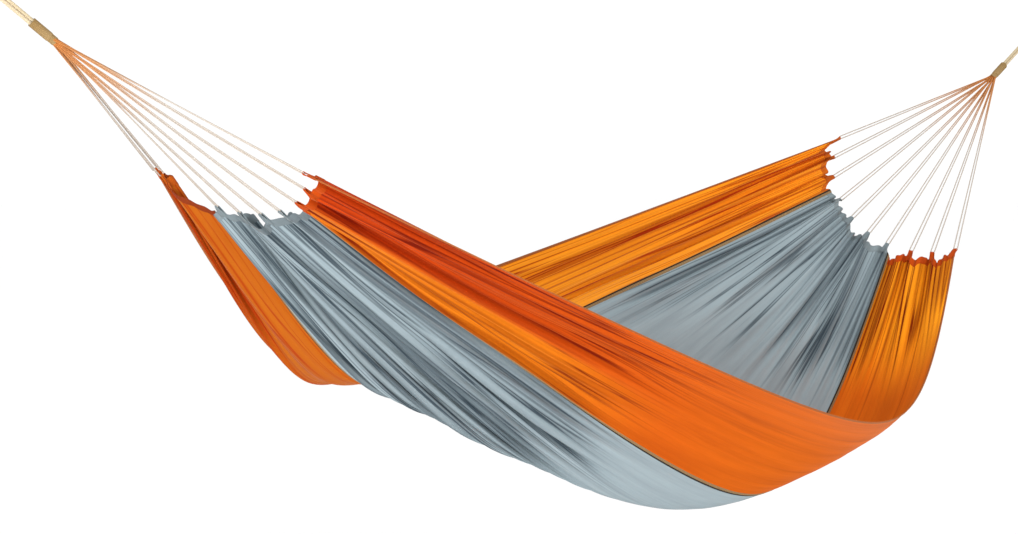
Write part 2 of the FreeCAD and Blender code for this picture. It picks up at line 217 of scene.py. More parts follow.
def settle():
    """The cloth as it hangs, with its full width in folds.

    Across the cloth the flat width is more than the smooth shape has room for. The spare width goes into
    folds that run along the threads. With a slope angle that swings evenly between -q and q, a fold takes up
    sin(q)/q of its flat width, so q follows from the local ratio of room to width. One broad fold hangs
    between each two peaks, flattened at the rims and beside the near seam, and finer ones lie on it. Summing
    the cosine and sine of the slope over the flat width gives the folded shape. Rounds of link corrections,
    with a little smoothing along the tight threads, then let neighbouring folds settle. With the points come
    the length of each thread and how freely the cloth gathers, from 0.45 under load to 1.
    """
    v, u = np.linspace(0, 1, ACROSS), np.linspace(0, 1, ALONG)
    base, length = base_cloth(v, u)
    rng = np.random.default_rng(11)
    near_end = np.minimum(u[None, :] * length[:, None], (1 - u[None, :]) * length[:, None])
    across = np.gradient(base, axis=0)
    n = unit(np.cross(np.gradient(base, axis=1), across))
    n = unit(blur(blur(n, 60, 0), 6, 1))
    if n[ACROSS // 2, ALONG // 2, 2] > 0:
        n = -n
    across = unit(blur(across, 60, 0))

    flat_step = CLOTH_WIDTH / (ACROSS - 1)
    step = np.linalg.norm(np.diff(base, axis=0), axis=2)
    room = np.concatenate([step[:1], 0.5 * (step[1:] + step[:-1]), step[-1:]]) / flat_step
    room = np.clip(blur(room, 40, 0), LEAST_ROOM, 1.0)
    first = np.interp(v, (0, 0.25, 0.4, 0.7, 1), (0.12, 0.14, 0.33, 0.32, 0.42))[:, None]
    last = np.interp(v, (0, 0.25, 0.4, 0.7, 1), (0.50, 0.60, 0.78, 0.88, 0.97))[:, None]
    pressed = np.interp(v, (0, 0.22, 0.36, 0.70, 0.80, 1), (0.25, 0.35, 1, 1, 1, 1))[:, None]
    loaded = pressed * smooth_step((u - first) / 0.16) * smooth_step((last - u) / 0.12)
    room = 1 - (1 - room) * (1 - 0.93 * loaded)
    room = np.minimum(room, 0.90 + 0.09 * loaded)
    tight = np.linspace(0.02, 2.9, 200)
    q = np.interp(-room, -np.sin(tight) / tight, tight)

    k, place_ = interval(v)
    warp = 0.10 * np.sin(2 * np.pi * (v * 7.3 + 0.2)) + 0.07 * np.sin(2 * np.pi * (v * 17.1 + 0.6))
    count = np.array([4, 3, 4, 5, 4, 5, 4, 4, 4])[k]
    shift = rng.uniform(0, 1, 9)[k] + warp * count
    drift = blur(np.cumsum(rng.normal(0, 0.030, (9, ALONG)), 1), 30, 1)[k]
    share = 0.5 + 0.30 * (1 - 2 * smooth_step((u - 0.25) / 0.5))
    broad = fold_slope((k + place_)[:, None] * np.ones(ALONG), share[None, :])
    fine = fold_slope((place_ * count + shift)[:, None] + drift, share[None, :])
    hair = fold_slope((v * 67 + 0.8 * np.sin(v * 31))[:, None] + 0.5 * drift, 0.5)
    strength = rng.uniform(0.3, 1.3, (9, 6))[k, np.minimum((place_ * count).astype(int), 5)]
    strength = blur(strength, 6, 0)[:, None]
    weight = 0.62 * smooth_step(1 - (near_end - 0.02) / 0.45) + 0.12
    rim = (smooth_step(np.minimum(v, 1 - v) / 0.11) * (1 - 0.85 * np.exp(-((v - 0.73) / 0.05) ** 2)))[:, None]
    fine *= 1.15 * np.sqrt(1 - 0.8 * weight ** 2) * strength * (0.3 + 0.7 * rim)
    slope = q * (weight * rim * broad + fine + 0.30 * hair)

    pins = np.round(PEAKS * (ACROSS - 1)).astype(int)
    aside = np.cumsum((np.cos(slope) - room) * flat_step, 0)
    lift = np.cumsum(np.sin(slope) * flat_step, 0)
    lift = drop_line(lift, pins)
    lift -= 0.5 * blur(lift, 500, 0) * smooth_step(near_end / 0.4)
    aside = drop_line(aside - blur(aside, 900, 0), pins)
    p = base + n * lift[..., None] + across * aside[..., None]

    rest_across = np.where(room[1:] <= LEAST_ROOM, flat_step, step / (0.5 * (room[1:] + room[:-1])))
    rest_along = np.linalg.norm(np.diff(base, axis=1), axis=2)
    ends = {0: base[pins, 0].copy(), ALONG - 1: base[pins, -1].copy()}
    grip = 0.0015 + 0.02 * loaded
    grip[[0, 1, -2, -1]] = 1.0
    for turn in range(ROUNDS):
        for start in (0, 1):
            a, b = links(0, start)
            hold(p, a, b, rest_across[a[0]], 0.6, 1.0)
            a, b = links(1, start)
            hold(p, a, b, rest_along[:, a[1]], 0.5, 1.0)
        away = p - base
        away[:, 1:-1] += 0.20 * (away[:, :-2] + away[:, 2:] - 2 * away[:, 1:-1])
        bend = away[:-2] + away[2:] - 2 * away[1:-1]
        away[2:-2] -= 0.03 * (bend[:-2] + bend[2:] - 2 * bend[1:-1])
        away *= (1 - grip * 0.3)[..., None]
        p = base + away
        for column, place_at in ends.items():
            p[pins, column] = place_at
    return p, length, 1 - 0.55 * loaded


CLOTH, THREAD_LENGTH, GATHER = settle()
MEAN_LENGTH = float(THREAD_LENGTH.mean())


def crease_shade_mask():
    """How sharply the cloth turns across its threads, whichever way: its second difference across, from 0 to
    1. The cloth's colour darkens by it, as painted shade in the creases."""
    turn = np.zeros(CLOTH.shape[:2])
    turn[1:-1] = np.linalg.norm(CLOTH[:-2] + CLOTH[2:] - 2 * CLOTH[1:-1], axis=2)
    turn = blur(turn, 1, 0) / (CLOTH_WIDTH / (ACROSS - 1))
    return smooth_step((turn - 0.20) / 0.40)


def cubic_mix(grid, where, axis):
    """Catmull-Rom samples of a grid along one axis, at places counted in its steps."""
    g = np.moveaxis(grid, axis, 0)
    n = len(g)
    i = np.clip(np.floor(where).astype(int), 0, n - 2)
    t = (where - i).reshape((-1,) + (1,) * (g.ndim - 1))
    p0, p1, p2, p3 = g[np.maximum(i - 1, 0)], g[i], g[i + 1], g[np.minimum(i + 2, n - 1)]
    p0 = np.where((i == 0).reshape(t.shape), 2 * p1 - p2, p0)
    p3 = np.where((i == n - 2).reshape(t.shape), 2 * p2 - p1, p3)
    out = 0.5 * (2 * p1 + (p2 - p0) * t + (2 * p0 - 5 * p1 + 4 * p2 - p3) * t ** 2
                 + (3 * p1 - p0 - 3 * p2 + p3) * t ** 3)
    return np.moveaxis(out, 0, axis)


def cloth_points(v, u, field=None):
    """Points of the settled cloth, or values of another field on it, for v across and u along."""
    grid = CLOTH if field is None else field
    return cubic_mix(cubic_mix(grid, np.clip(v, 0, 1) * (ACROSS - 1), 0), np.clip(u, 0, 1) * (ALONG - 1), 1)


def cloth_at(v, u):
    """Grid of points of the settled cloth for v across and u along, and the normals there, on the outside."""
    e = 0.0015
    along = cloth_points(v, u + e) - cloth_points(v, u - e)
    across = cloth_points(v + e, u) - cloth_points(v - e, u)
    return cloth_points(v, u), unit(np.cross(along, across))


# ---- meshes ----

def grid_object(name, points, uv, wrap=(False, False)):
    """Mesh of quads over a grid of points, closed round either way, with one UV per grid place."""
    rows, cols = points.shape[:2]
    i, j = np.meshgrid(np.arange(rows if wrap[0] else rows - 1), np.arange(cols if wrap[1] else cols - 1),
                       indexing="ij")
    corner_i = np.stack([i, i, i + 1, i + 1], -1).reshape(-1, 4)
    corner_j = np.stack([j, j + 1, j + 1, j], -1).reshape(-1, 4)
    faces = (corner_i % rows) * cols + corner_j % cols
    mesh = bpy.data.meshes.new(name)
    mesh.vertices.add(rows * cols)
    mesh.vertices.foreach_set("co", points.astype(np.float32).ravel())
    mesh.loops.add(faces.size)
    mesh.loops.foreach_set("vertex_index", faces.astype(np.int32).ravel())
    mesh.polygons.add(len(faces))
    mesh.polygons.foreach_set("loop_start", np.arange(0, faces.size, 4, dtype=np.int32))
    mesh.polygons.foreach_set("use_smooth", np.ones(len(faces), bool))
    mesh.update(calc_edges=True)
    layer = mesh.uv_layers.new(name="flat")
    layer.data.foreach_set("uv", uv[corner_i, corner_j].astype(np.float32).ravel())
    obj = bpy.data.objects.new(name, mesh)
    bpy.context.scene.collection.objects.link(obj)
    return obj


def mask(obj, name, values):
    """One value per point of a piece, which its material reads by name."""
    obj.data.attributes.new(name, "FLOAT", "POINT").data.foreach_set("value", values.astype(np.float32).ravel())


def joined(name, objects):
    """One object from several."""
    bpy.ops.object.select_all(action="DESELECT")
    for o in objects:
        o.select_set(True)
    bpy.context.view_layer.objects.active = objects[0]
    bpy.ops.object.join()
    objects[0].name = name
    objects[0].data.name = name
    return objects[0]


def place(obj, body, slot, material, *nodes):
    """The piece takes its material, stands for its solids and rides on its body."""
    obj.data.materials.clear()
    obj.data.materials.append(material)
    if nodes:
        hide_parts(*nodes)
    if body:
        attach(obj, body)
    return obj


# ---- materials ----

def link(tree, a, b):
    """Joins an output socket to an input socket."""
    tree.links.new(a, b)


def node(tree, kind, **settings):
    """A node of a tree, with settings by input name or by property."""
    made = tree.nodes.new(kind)
    for key, value in settings.items():
        if key in made.inputs:
            made.inputs[key].default_value = value
        else:
            setattr(made, key.lower().replace(" ", "_"), value)
    return made


def maths(tree, operation, *values):
    """A maths node over sockets and plain numbers."""
    made = node(tree, "ShaderNodeMath", operation=operation)
    for socket, value in zip(made.inputs, values):
        if isinstance(value, (int, float)):
            socket.default_value = value
        else:
            link(tree, value, socket)
    return made.outputs[0]


def ramp(tree, factor, stops, interpolation="LINEAR"):
    """A colour ramp over a factor, from stops of place and colour."""
    made = node(tree, "ShaderNodeValToRGB")
    made.color_ramp.interpolation = interpolation
    while len(made.color_ramp.elements) < len(stops):
        made.color_ramp.elements.new(0.5)
    for element, (where, colour) in zip(made.color_ramp.elements, stops):
        element.position = where
        element.color = (*colour, 1)
    link(tree, factor, made.inputs[0])
    return made.outputs[0]


def new_group(name, inputs, outputs):
    """An empty node group with its sockets: name and kind of each."""
    tree = bpy.data.node_groups.new(name, "ShaderNodeTree")
    for socket, kind in inputs:
        tree.interface.new_socket(socket, in_out="INPUT", socket_type="NodeSocket" + kind)
    for socket, kind in outputs:
        tree.interface.new_socket(socket, in_out="OUTPUT", socket_type="NodeSocket" + kind)
    return tree, tree.nodes.new("NodeGroupInput").outputs, tree.nodes.new("NodeGroupOutput").inputs


def use(tree, group, **values):
    """A group node in a material, with its inputs set or linked."""
    made = tree.nodes.new("ShaderNodeGroup")
    made.node_tree = group
    for key, value in values.items():
        if isinstance(value, bpy.types.NodeSocket):
            link(tree, value, made.inputs[key])
        else:
            made.inputs[key].default_value = value
    return made.outputs


def fold_lines_and_shade_group():
    """Sharp little creases along the threads, in bunches, where the cloth's gather mask is high. Its line
    output
    is painted shade: dark lines where a noise drawn out along the cloth crosses its middle value, and a
    fading painted shadow on one side of each. Height is how far the noise is from that value."""
    tree, given, out = new_group("fold_lines_and_shade", [("UV", "Vector")], [("Line", "Float"), ("Height", "Float")])
    stretch = node(tree, "ShaderNodeMapping")
    stretch.inputs["Scale"].default_value = (0.9, 46.0, 1.0)
    link(tree, given["UV"], stretch.inputs[0])
    folds = node(tree, "ShaderNodeTexNoise", Scale=1.0, Detail=2.0, Roughness=0.5)
    link(tree, stretch.outputs[0], folds.inputs["Vector"])
    spread_out = node(tree, "ShaderNodeMapping")
    spread_out.inputs["Scale"].default_value = (1.1, 9.0, 1.0)
    spread_out.inputs["Location"].default_value = (3.0, 5.0, 0.0)
    link(tree, given["UV"], spread_out.inputs[0])
    bunches = node(tree, "ShaderNodeTexNoise", Scale=1.0, Detail=1.0)
    link(tree, spread_out.outputs[0], bunches.inputs["Vector"])
    gather = node(tree, "ShaderNodeAttribute", attribute_name="gather")
    where = node(tree, "ShaderNodeMapRange", interpolation_type="SMOOTHSTEP")
    link(tree, maths(tree, "MULTIPLY", bunches.outputs["Fac"], gather.outputs["Fac"]), where.inputs["Value"])
    where.inputs["From Min"].default_value = 0.18
    where.inputs["From Max"].default_value = 0.60
    past = maths(tree, "SUBTRACT", folds.outputs["Fac"], 0.5)
    off = maths(tree, "ABSOLUTE", past)
    parts = []
    for distance, width in ((off, 0.042), (past, 0.12)):
        part = node(tree, "ShaderNodeMapRange", interpolation_type="SMOOTHSTEP")
        link(tree, distance, part.inputs["Value"])
        for key, value in (("From Min", 0.0), ("From Max", width), ("To Min", 1.0), ("To Max", 0.0)):
            part.inputs[key].default_value = value
        parts.append(part.outputs[0])
    # painted shadow, fading away on one side of each line
    lee_shade = maths(tree, "MULTIPLY", parts[1], maths(tree, "GREATER_THAN", past, 0.0))
    both = maths(tree, "MULTIPLY_ADD", lee_shade, 0.24, maths(tree, "MULTIPLY", parts[0], 0.75))
    link(tree, maths(tree, "MULTIPLY", both, where.outputs[0]), out["Line"])
    link(tree, maths(tree, "MULTIPLY", maths(tree, "MINIMUM", off, 0.12), gather.outputs["Fac"]), out["Height"])
    return tree


FOLD_LINES_AND_SHADE = fold_lines_and_shade_group()


def cloth_tone_and_shade_group():
    """Colour of dyed nylon, with painted light and shade: a shaded tone turns to a lit one by the piece's
    mask of painted light, with long faint streaks along the threads, and painted shade where the cloth
    turns sharply and in the little creases."""
    tree, given, out = new_group("cloth_tone_and_shade", [("UV", "Vector"), ("Colour", "Color"), ("Other", "Color"),
                                                ("Deep", "Color")], [("Colour", "Color")])
    stretch = node(tree, "ShaderNodeMapping")
    stretch.inputs["Scale"].default_value = (2.2, 26.0, 1.0)
    link(tree, given["UV"], stretch.inputs[0])
    streaks = node(tree, "ShaderNodeTexNoise", Scale=1.0, Detail=5.0, Roughness=0.6)
    link(tree, stretch.outputs[0], streaks.inputs["Vector"])
    crease_shade = node(tree, "ShaderNodeAttribute", attribute_name="crease_shade")
    light = node(tree, "ShaderNodeAttribute", attribute_name="light")
    # amount towards the deep tone: faint streaks, then painted shade where the cloth turns sharply and along
    # the little creases
    amount = maths(tree, "MULTIPLY_ADD", streaks.outputs["Fac"], 0.8, -0.28)
    amount = maths(tree, "MULTIPLY_ADD", crease_shade.outputs["Fac"], 0.60, amount)
    amount = maths(tree, "MAXIMUM", amount, 0.0)
    amount = maths(tree, "MULTIPLY_ADD", use(tree, FOLD_LINES_AND_SHADE, UV=given["UV"])["Line"], 0.85, amount)
    # painted light: the mask mixes the shaded tone with the lit one
    both = node(tree, "ShaderNodeMix", data_type="RGBA", clamp_factor=True)
    link(tree, light.outputs["Fac"], both.inputs[0])
    link(tree, given["Colour"], both.inputs[6])
    link(tree, given["Other"], both.inputs[7])
    mix = node(tree, "ShaderNodeMix", data_type="RGBA", clamp_factor=True)
    link(tree, amount, mix.inputs[0])
    link(tree, both.outputs[2], mix.inputs[6])
    link(tree, given["Deep"], mix.inputs[7])
    link(tree, mix.outputs[2], out["Colour"])
    return tree


def cloth_relief_group():
    """Relief of the cloth: the sharp little creases, a fine crinkle, and a plain weave under them."""
    tree, given, out = new_group("cloth_relief", [("UV", "Vector"), ("Strength", "Float")],
                                 [("Normal", "Vector")])
    stretch = node(tree, "ShaderNodeMapping")
    stretch.inputs["Scale"].default_value = (14.0, 60.0, 1.0)
    link(tree, given["UV"], stretch.inputs[0])
    crinkle = node(tree, "ShaderNodeTexNoise", Scale=1.0, Detail=4.0, Roughness=0.5)
    link(tree, stretch.outputs[0], crinkle.inputs["Vector"])
    split = node(tree, "ShaderNodeSeparateXYZ")
    link(tree, given["UV"], split.inputs[0])
    warp = maths(tree, "SINE", maths(tree, "MULTIPLY", split.outputs[0], 7500.0))
    weft = maths(tree, "SINE", maths(tree, "MULTIPLY", split.outputs[1], 7500.0))
    weave = maths(tree, "MULTIPLY", maths(tree, "MULTIPLY", warp, weft), 0.03)
    bump = node(tree, "ShaderNodeBump", Distance=0.002)
    link(tree, given["Strength"], bump.inputs["Strength"])
    height = maths(tree, "MULTIPLY_ADD", use(tree, FOLD_LINES_AND_SHADE, UV=given["UV"])["Height"], 14.0, weave)
    link(tree, maths(tree, "ADD", crinkle.outputs["Fac"], height), bump.inputs["Height"])
    link(tree, bump.outputs[0], out["Normal"])
    return tree


def stitches_group():
    """Mask of a row of stitches along UV x: short dashes at one height of UV y."""
    tree, given, out = new_group("stitches", [("UV", "Vector"), ("Row", "Float")], [("Mask", "Float")])
    split = node(tree, "ShaderNodeSeparateXYZ")
    link(tree, given["UV"], split.inputs[0])
    off = maths(tree, "ABSOLUTE", maths(tree, "SUBTRACT", split.outputs[1], given["Row"]))
    line = maths(tree, "LESS_THAN", off, 0.0005)
    dash = maths(tree, "LESS_THAN", maths(tree, "PINGPONG", split.outputs[0], 0.0018), 0.0013)
    link(tree, maths(tree, "MULTIPLY", line, dash), out["Mask"])
    return tree


def twist_group():
    """Relief of strands laid round each other: a ridge for each, that climbs with UV x and runs round with UV
    y."""
    tree, given, out = new_group("twist", [("UV", "Vector"), ("Strands", "Float"), ("Turns", "Float"),
                                           ("Depth", "Float")], [("Ridge", "Float"), ("Normal", "Vector")])
    split = node(tree, "ShaderNodeSeparateXYZ")
    link(tree, given["UV"], split.inputs[0])
    around = maths(tree, "MULTIPLY", split.outputs[1], given["Strands"])
    climb = maths(tree, "MULTIPLY_ADD", split.outputs[0], given["Turns"], around)
    ridge = maths(tree, "PINGPONG", climb, 0.5)
    bump = node(tree, "ShaderNodeBump", Distance=0.0005)
    link(tree, given["Depth"], bump.inputs["Strength"])
    link(tree, ridge, bump.inputs["Height"])
    link(tree, ridge, out["Ridge"])
    link(tree, bump.outputs[0], out["Normal"])
    return tree


CLOTH_TONE_AND_SHADE, CLOTH_RELIEF, STITCHES, TWIST = (cloth_tone_and_shade_group(), cloth_relief_group(), stitches_group(),
                                             twist_group())


def shader_tree(name):
    """A material, its tree, its Principled shader and its UV socket."""
    m = bpy.data.materials.new(name)
    m.use_nodes = True
    tree = m.node_tree
    return m, tree, tree.nodes["Principled BSDF"], node(tree, "ShaderNodeUVMap", uv_map="flat").outputs[0]


def cloth_material(name, colour, painted_lit, deep_and_shade, glow, tint, across=None, stitch_rows=(),
                   thread=(0.05, 0.04, 0.03)):
    """Thin nylon: its tone and relief, a faint sheen in its own colour, and light that comes through it.
    Trims have rows of stitches, and some take their shaded and lit colours, painted shade and painted light,
    in steps along one way of the UV, over a width. Its colour is the shaded tone, the next the lit one, and
    the next the deep tone of the streaks and of the painted shade in creases."""
    m, tree, shader, uv = shader_tree(name)
    if across:
        axis, width, *steps = across
        split = node(tree, "ShaderNodeSeparateXYZ")
        link(tree, uv, split.inputs[0])
        share = maths(tree, "DIVIDE", split.outputs[axis], width)
        # painted light: a shaded and a lit copy of the trim's colours, which its painted-light mask mixes
        shaded_tone, lit_tone = (ramp(tree, share, stops, "CONSTANT") for stops in steps)
        tone = use(tree, CLOTH_TONE_AND_SHADE, UV=uv, Colour=shaded_tone, Other=lit_tone, Deep=shaded_tone)["Colour"]
    else:
        tone = use(tree, CLOTH_TONE_AND_SHADE, UV=uv, Colour=(*colour, 1), Other=(*painted_lit, 1), Deep=(*deep_and_shade, 1))["Colour"]
    for row in stitch_rows:
        mix = node(tree, "ShaderNodeMix", data_type="RGBA")
        link(tree, use(tree, STITCHES, UV=uv, Row=row)["Mask"], mix.inputs[0])
        link(tree, tone, mix.inputs[6])
        mix.inputs[7].default_value = (*thread, 1)
        tone = mix.outputs[2]
    relief = use(tree, CLOTH_RELIEF, UV=uv, Strength=0.22)["Normal"]
    link(tree, tone, shader.inputs["Base Color"])
    link(tree, relief, shader.inputs["Normal"])
    shader.inputs["Roughness"].default_value = 0.60
    shader.inputs["Specular IOR Level"].default_value = 0.12
    shader.inputs["Specular Tint"].default_value = (*tint, 1)
    shader.inputs["Sheen Weight"].default_value = 0.08
    shader.inputs["Sheen Roughness"].default_value = 0.4
    shader.inputs["Sheen Tint"].default_value = (*tint, 1)
    through = node(tree, "ShaderNodeBsdfTranslucent")
    link(tree, tone, through.inputs["Color"])
    link(tree, relief, through.inputs["Normal"])
    mix = node(tree, "ShaderNodeMixShader")
    mix.inputs[0].default_value = glow
    link(tree, shader.outputs[0], mix.inputs[1])
    link(tree, through.outputs[0], mix.inputs[2])
    link(tree, mix.outputs[0], tree.nodes["Material Output"].inputs[0])
    return m


def cord_material(name, stops, strands, turns, depth):
    """Twisted cord: strands wind round it, and its colour changes along it. UV is length along and share
    round."""
    m, tree, shader, uv = shader_tree(name)
    split = node(tree, "ShaderNodeSeparateXYZ")
    link(tree, uv, split.inputs[0])
    twist = use(tree, TWIST, UV=uv, Strands=strands, Turns=turns, Depth=depth)
    link(tree, twist["Normal"], shader.inputs["Normal"])
    shade = node(tree, "ShaderNodeMix", data_type="RGBA", blend_type="MULTIPLY")
    shade.inputs[0].default_value = 0.2
    link(tree, ramp(tree, split.outputs[0], stops), shade.inputs[6])
    link(tree, ramp(tree, twist["Ridge"], [(0.0, (0.55, 0.50, 0.45)), (0.35, (1, 1, 1))]), shade.inputs[7])
    link(tree, shade.outputs[2], shader.inputs["Base Color"])
    shader.inputs["Roughness"].default_value = 0.8
    shader.inputs["Specular IOR Level"].default_value = 0.2
    return m


WARM, COOL = (1.0, 0.45, 0.10), (0.90, 0.95, 1.0)
# Painted light for the end edge and ears: a shaded copy of the far, middle and near colours, then a lit copy
EDGE_SHADED_AND_LIT_TONES = [0, CLOTH_WIDTH] + [[(0.0, a), (FAR_SEAM, b), (NEAR_SEAM, c)] for a, b, c in
                                 (((0.17, 0.022, 0.010), (0.10, 0.125, 0.140), (0.26, 0.035, 0.006)),
                                  ((0.62, 0.130, 0.006), (0.225, 0.280, 0.300), (0.50, 0.062, 0.005)))]
SEAM_TONES = [1, SEAM] + [[(0.0, (0.020, 0.018, 0.016)), (0.42, (0.30, 0.19, 0.09))]] * 2
# Each cloth: its shaded tone, its lit tone (painted light), and a deep tone for the streaks and for painted
# shade in creases
ORANGE_FAR = cloth_material("orange_far", (0.45, 0.115, 0.009), (0.95, 0.325, 0.014), (0.34, 0.026, 0.003),
                            0.20, WARM)
ORANGE_NEAR = cloth_material("orange_near", (0.56, 0.053, 0.005), (0.90, 0.310, 0.011), (0.15, 0.007, 0.002),
                             0.20, WARM)
GREY = cloth_material("grey", (0.300, 0.369, 0.397), (0.300, 0.370, 0.398), (0.040, 0.057, 0.071), 0.12, COOL)
TAN = (0.36, 0.105, 0.028)
HEM = cloth_material("rolled_hem", TAN, TAN, (0.18, 0.045, 0.012), 0.04, WARM, stitch_rows=(0.003, 0.008))
SEAM_CLOTH = cloth_material("felled_seam", None, None, None, 0.04, WARM, across=SEAM_TONES,
                            stitch_rows=(0.007, 0.010))
END_CLOTH = cloth_material("end_edge", None, None, None, 0.10, WARM, across=EDGE_SHADED_AND_LIT_TONES)
EAR_CLOTH = cloth_material("ear", None, None, None, 0.0, WARM, across=EDGE_SHADED_AND_LIT_TONES)
CORD_TONES = [(0.0, (0.44, 0.15, 0.03)), (0.10, (0.44, 0.22, 0.10)), (0.24, (0.44, 0.39, 0.34))]
CORD = cord_material("cord", CORD_TONES, 2.0, 30.0, 0.2)
ROPE = cord_material("rope", [(0.0, (0.46, 0.38, 0.24)), (0.2, (0.52, 0.42, 0.28))], 3.0, 60.0, 0.4)
BINDING = cord_material("binding", [(0.0, (0.24, 0.15, 0.055)), (0.1, (0.30, 0.20, 0.09))], 1.0, 0.0, 0.2)


# ---- cloth pieces ----
# Painted shade: a mask of the cloth's sharp turns, which darkens its colour.
CREASE_SHADE = crease_shade_mask()


def panel(name, v0, v1, slot, material, solid, light):
    """One lengthwise panel: the settled cloth between two places across. The last argument, a function of v
    and u, is its mask of painted light, from its shaded tone to its lit one."""
    v = np.linspace(v0, v1, int(round((v1 - v0) * (ACROSS - 1) * 1.25)) + 1)
    u = np.linspace(0, 1, 361)
    uv = np.stack(np.meshgrid(v * CLOTH_WIDTH, u * MEAN_LENGTH, indexing="ij")[::-1], -1)
    made = grid_object(name, cloth_points(v, u), uv)
    # masks for painted shade in creases, for painted light, and for where the cloth gathers
    mask(made, "crease_shade", cloth_points(v, u, CREASE_SHADE))
    mask(made, "light", np.clip(light(v[:, None], u[None, :]), 0, 1) * np.ones((len(v), len(u))))
    mask(made, "gather", cloth_points(v, u, GATHER))
    return place(made, "bed", slot, material, solid)


def far_light(v, u):
    """Painted light on the far panel: none near the left end, which keeps its shaded tone, and full from just
    past the middle.
    """
    return smooth_step((u - 0.32) / 0.20) * np.ones_like(v)


def near_light(v, u):
    """Painted light on the near panel: a slow rise to the right, a quick one where the panel's inside shows,
    and a band beside the seam at the left."""
    band = smooth_step((0.815 - v) / 0.02) * smooth_step((0.48 - u) / 0.25)
    return 0.30 * smooth_step(u / 0.7) + 0.70 * smooth_step((u - 0.80) / 0.12) + 0.55 * band


def strip_section(width, thickness):
    """Closed outline of a folded strip: (distance across it, lift off the cloth), with rounded edges."""
    r = 0.5 * thickness
    turn = np.linspace(-0.5 * math.pi, 0.5 * math.pi, 5)
    right = np.stack([width - r + r * np.cos(turn), r * np.sin(turn)], -1)
    left = np.stack([r - r * np.cos(turn), -r * np.sin(turn)], -1)
    flat = np.linspace(width - 1.6 * r, 1.6 * r, 5)
    top = np.stack([flat, np.full(5, r)], -1)
    return np.concatenate([right, top, left, top[::-1] * (1, -1)])


def lengthwise_strip(name, v0, width, thickness, slot, material, solid):
    """A hem or seam along the cloth, from v0 towards the near side."""
    section = strip_section(width, thickness)
    v, u = v0 + section[:, 0] / CLOTH_WIDTH, np.linspace(0, 1, 541)
    points, n = cloth_at(v, u)
    points = points + n * section[:, 1][:, None, None]
    ring = np.arange(len(v) + 1) % len(v)
    uv = np.stack(np.broadcast_arrays((u * MEAN_LENGTH)[None, :], section[ring, 0][:, None]), -1)
    return place(grid_object(name, points, uv, wrap=(True, False)), "bed", slot, material, solid)


def end_strip(side, v=np.linspace(0, 1, 1201)):
    """The end hem, along the scalloped edge from the far side to the near one."""
    section = strip_section(END_HEM, 0.0014)
    u = section[:, 0] / MEAN_LENGTH
    u = u if side == "left" else 1 - u
    points, n = cloth_at(v, u)
    points = points + n * section[:, 1][None, :, None]
    ring = np.arange(len(u) + 1) % len(u)
    uv = np.stack(np.broadcast_arrays((v * CLOTH_WIDTH)[:, None], section[ring, 0][None, :]), -1)
    made = grid_object("scalloped_edge_" + side, points, uv, wrap=(False, True))
    # Painted light on the end hem: nearly its lit tone, but at the left end painted shade from the far hem to v
    # 0.72, deepest from v 0.19 to 0.33
    light = np.full(len(v), 0.95)
    if side == "left":
        light -= 0.85 * smooth_step((v - 0.19) / 0.03) * smooth_step((0.33 - v) / 0.05)
        light -= 0.40 * smooth_step((0.21 - v) / 0.02)
        light -= 0.45 * smooth_step((v - 0.33) / 0.03) * smooth_step((0.72 - v) / 0.02)
    mask(made, "light", light[:, None] * np.ones(len(u)))
    mask(made, "crease_shade", cloth_points(v, u, CREASE_SHADE))
    return place(made, "bed", "end_trim", END_CLOTH, "end_hem_" + side)


half_seam = 0.5 * SEAM / CLOTH_WIDTH
cloth_pieces = [
    (panel("cloth_far", 0.003, FAR_SEAM, "cloth_orange", ORANGE_FAR, "panel_far", far_light), 0.400),
    (panel("cloth_middle", FAR_SEAM, NEAR_SEAM, "cloth_grey", GREY, "panel_middle",
           lambda v, u: smooth_step((u - 0.4) / 0.4)), 0.600),
    (panel("cloth_near", NEAR_SEAM, 0.997, "cloth_orange", ORANGE_NEAR, "panel_near", near_light), 0.400),
]
lengthwise_strip("rolled_hem_far", 0.0, 0.010, 0.0024, "hem_trim", HEM, "hem_far")
lengthwise_strip("rolled_hem_near", 1 - 0.010 / CLOTH_WIDTH, 0.010, 0.0024, "hem_trim", HEM, "hem_near")
lengthwise_strip("felled_seam_far", FAR_SEAM - half_seam, SEAM, 0.0018, "seam_trim", SEAM_CLOTH, "seam_far")
lengthwise_strip("felled_seam_near", NEAR_SEAM - half_seam, SEAM, 0.0018, "seam_trim", SEAM_CLOTH, "seam_near")
end_strip("left")
end_strip("right")


# ---- cords, ears, ropes ----

def neck_axes(side):
    """Down along the cords, to the far side, and square to both."""
    sign = 1 if side == "left" else -1
    return (np.array([sign * math.cos(NECK_SLOPE), 0, -math.sin(NECK_SLOPE)]), np.array([0, 1.0, 0]),
            np.array([sign * math.sin(NECK_SLOPE), 0, math.cos(NECK_SLOPE)]))


def neck_slots(side):
    """Places of the twenty strands in the neck, far side first."""
    _, far, top = neck_axes(side)
    slots = []
    columns = len(SLOT_COLUMNS)
    for column, count in enumerate(SLOT_COLUMNS):
        rising = side == "left" and column >= columns / 2
        bunched = side == "left" and column == 1
        for row in ((0, 2, 1, 3) if bunched else range(count)):
            level = (count - 1) / 2 - row
            slots.append(neck(side) + far * (((columns - 1) / 2 - column) * SLOT_PITCH)
                         + top * ((-level if rising else level) * SLOT_PITCH))
    return slots


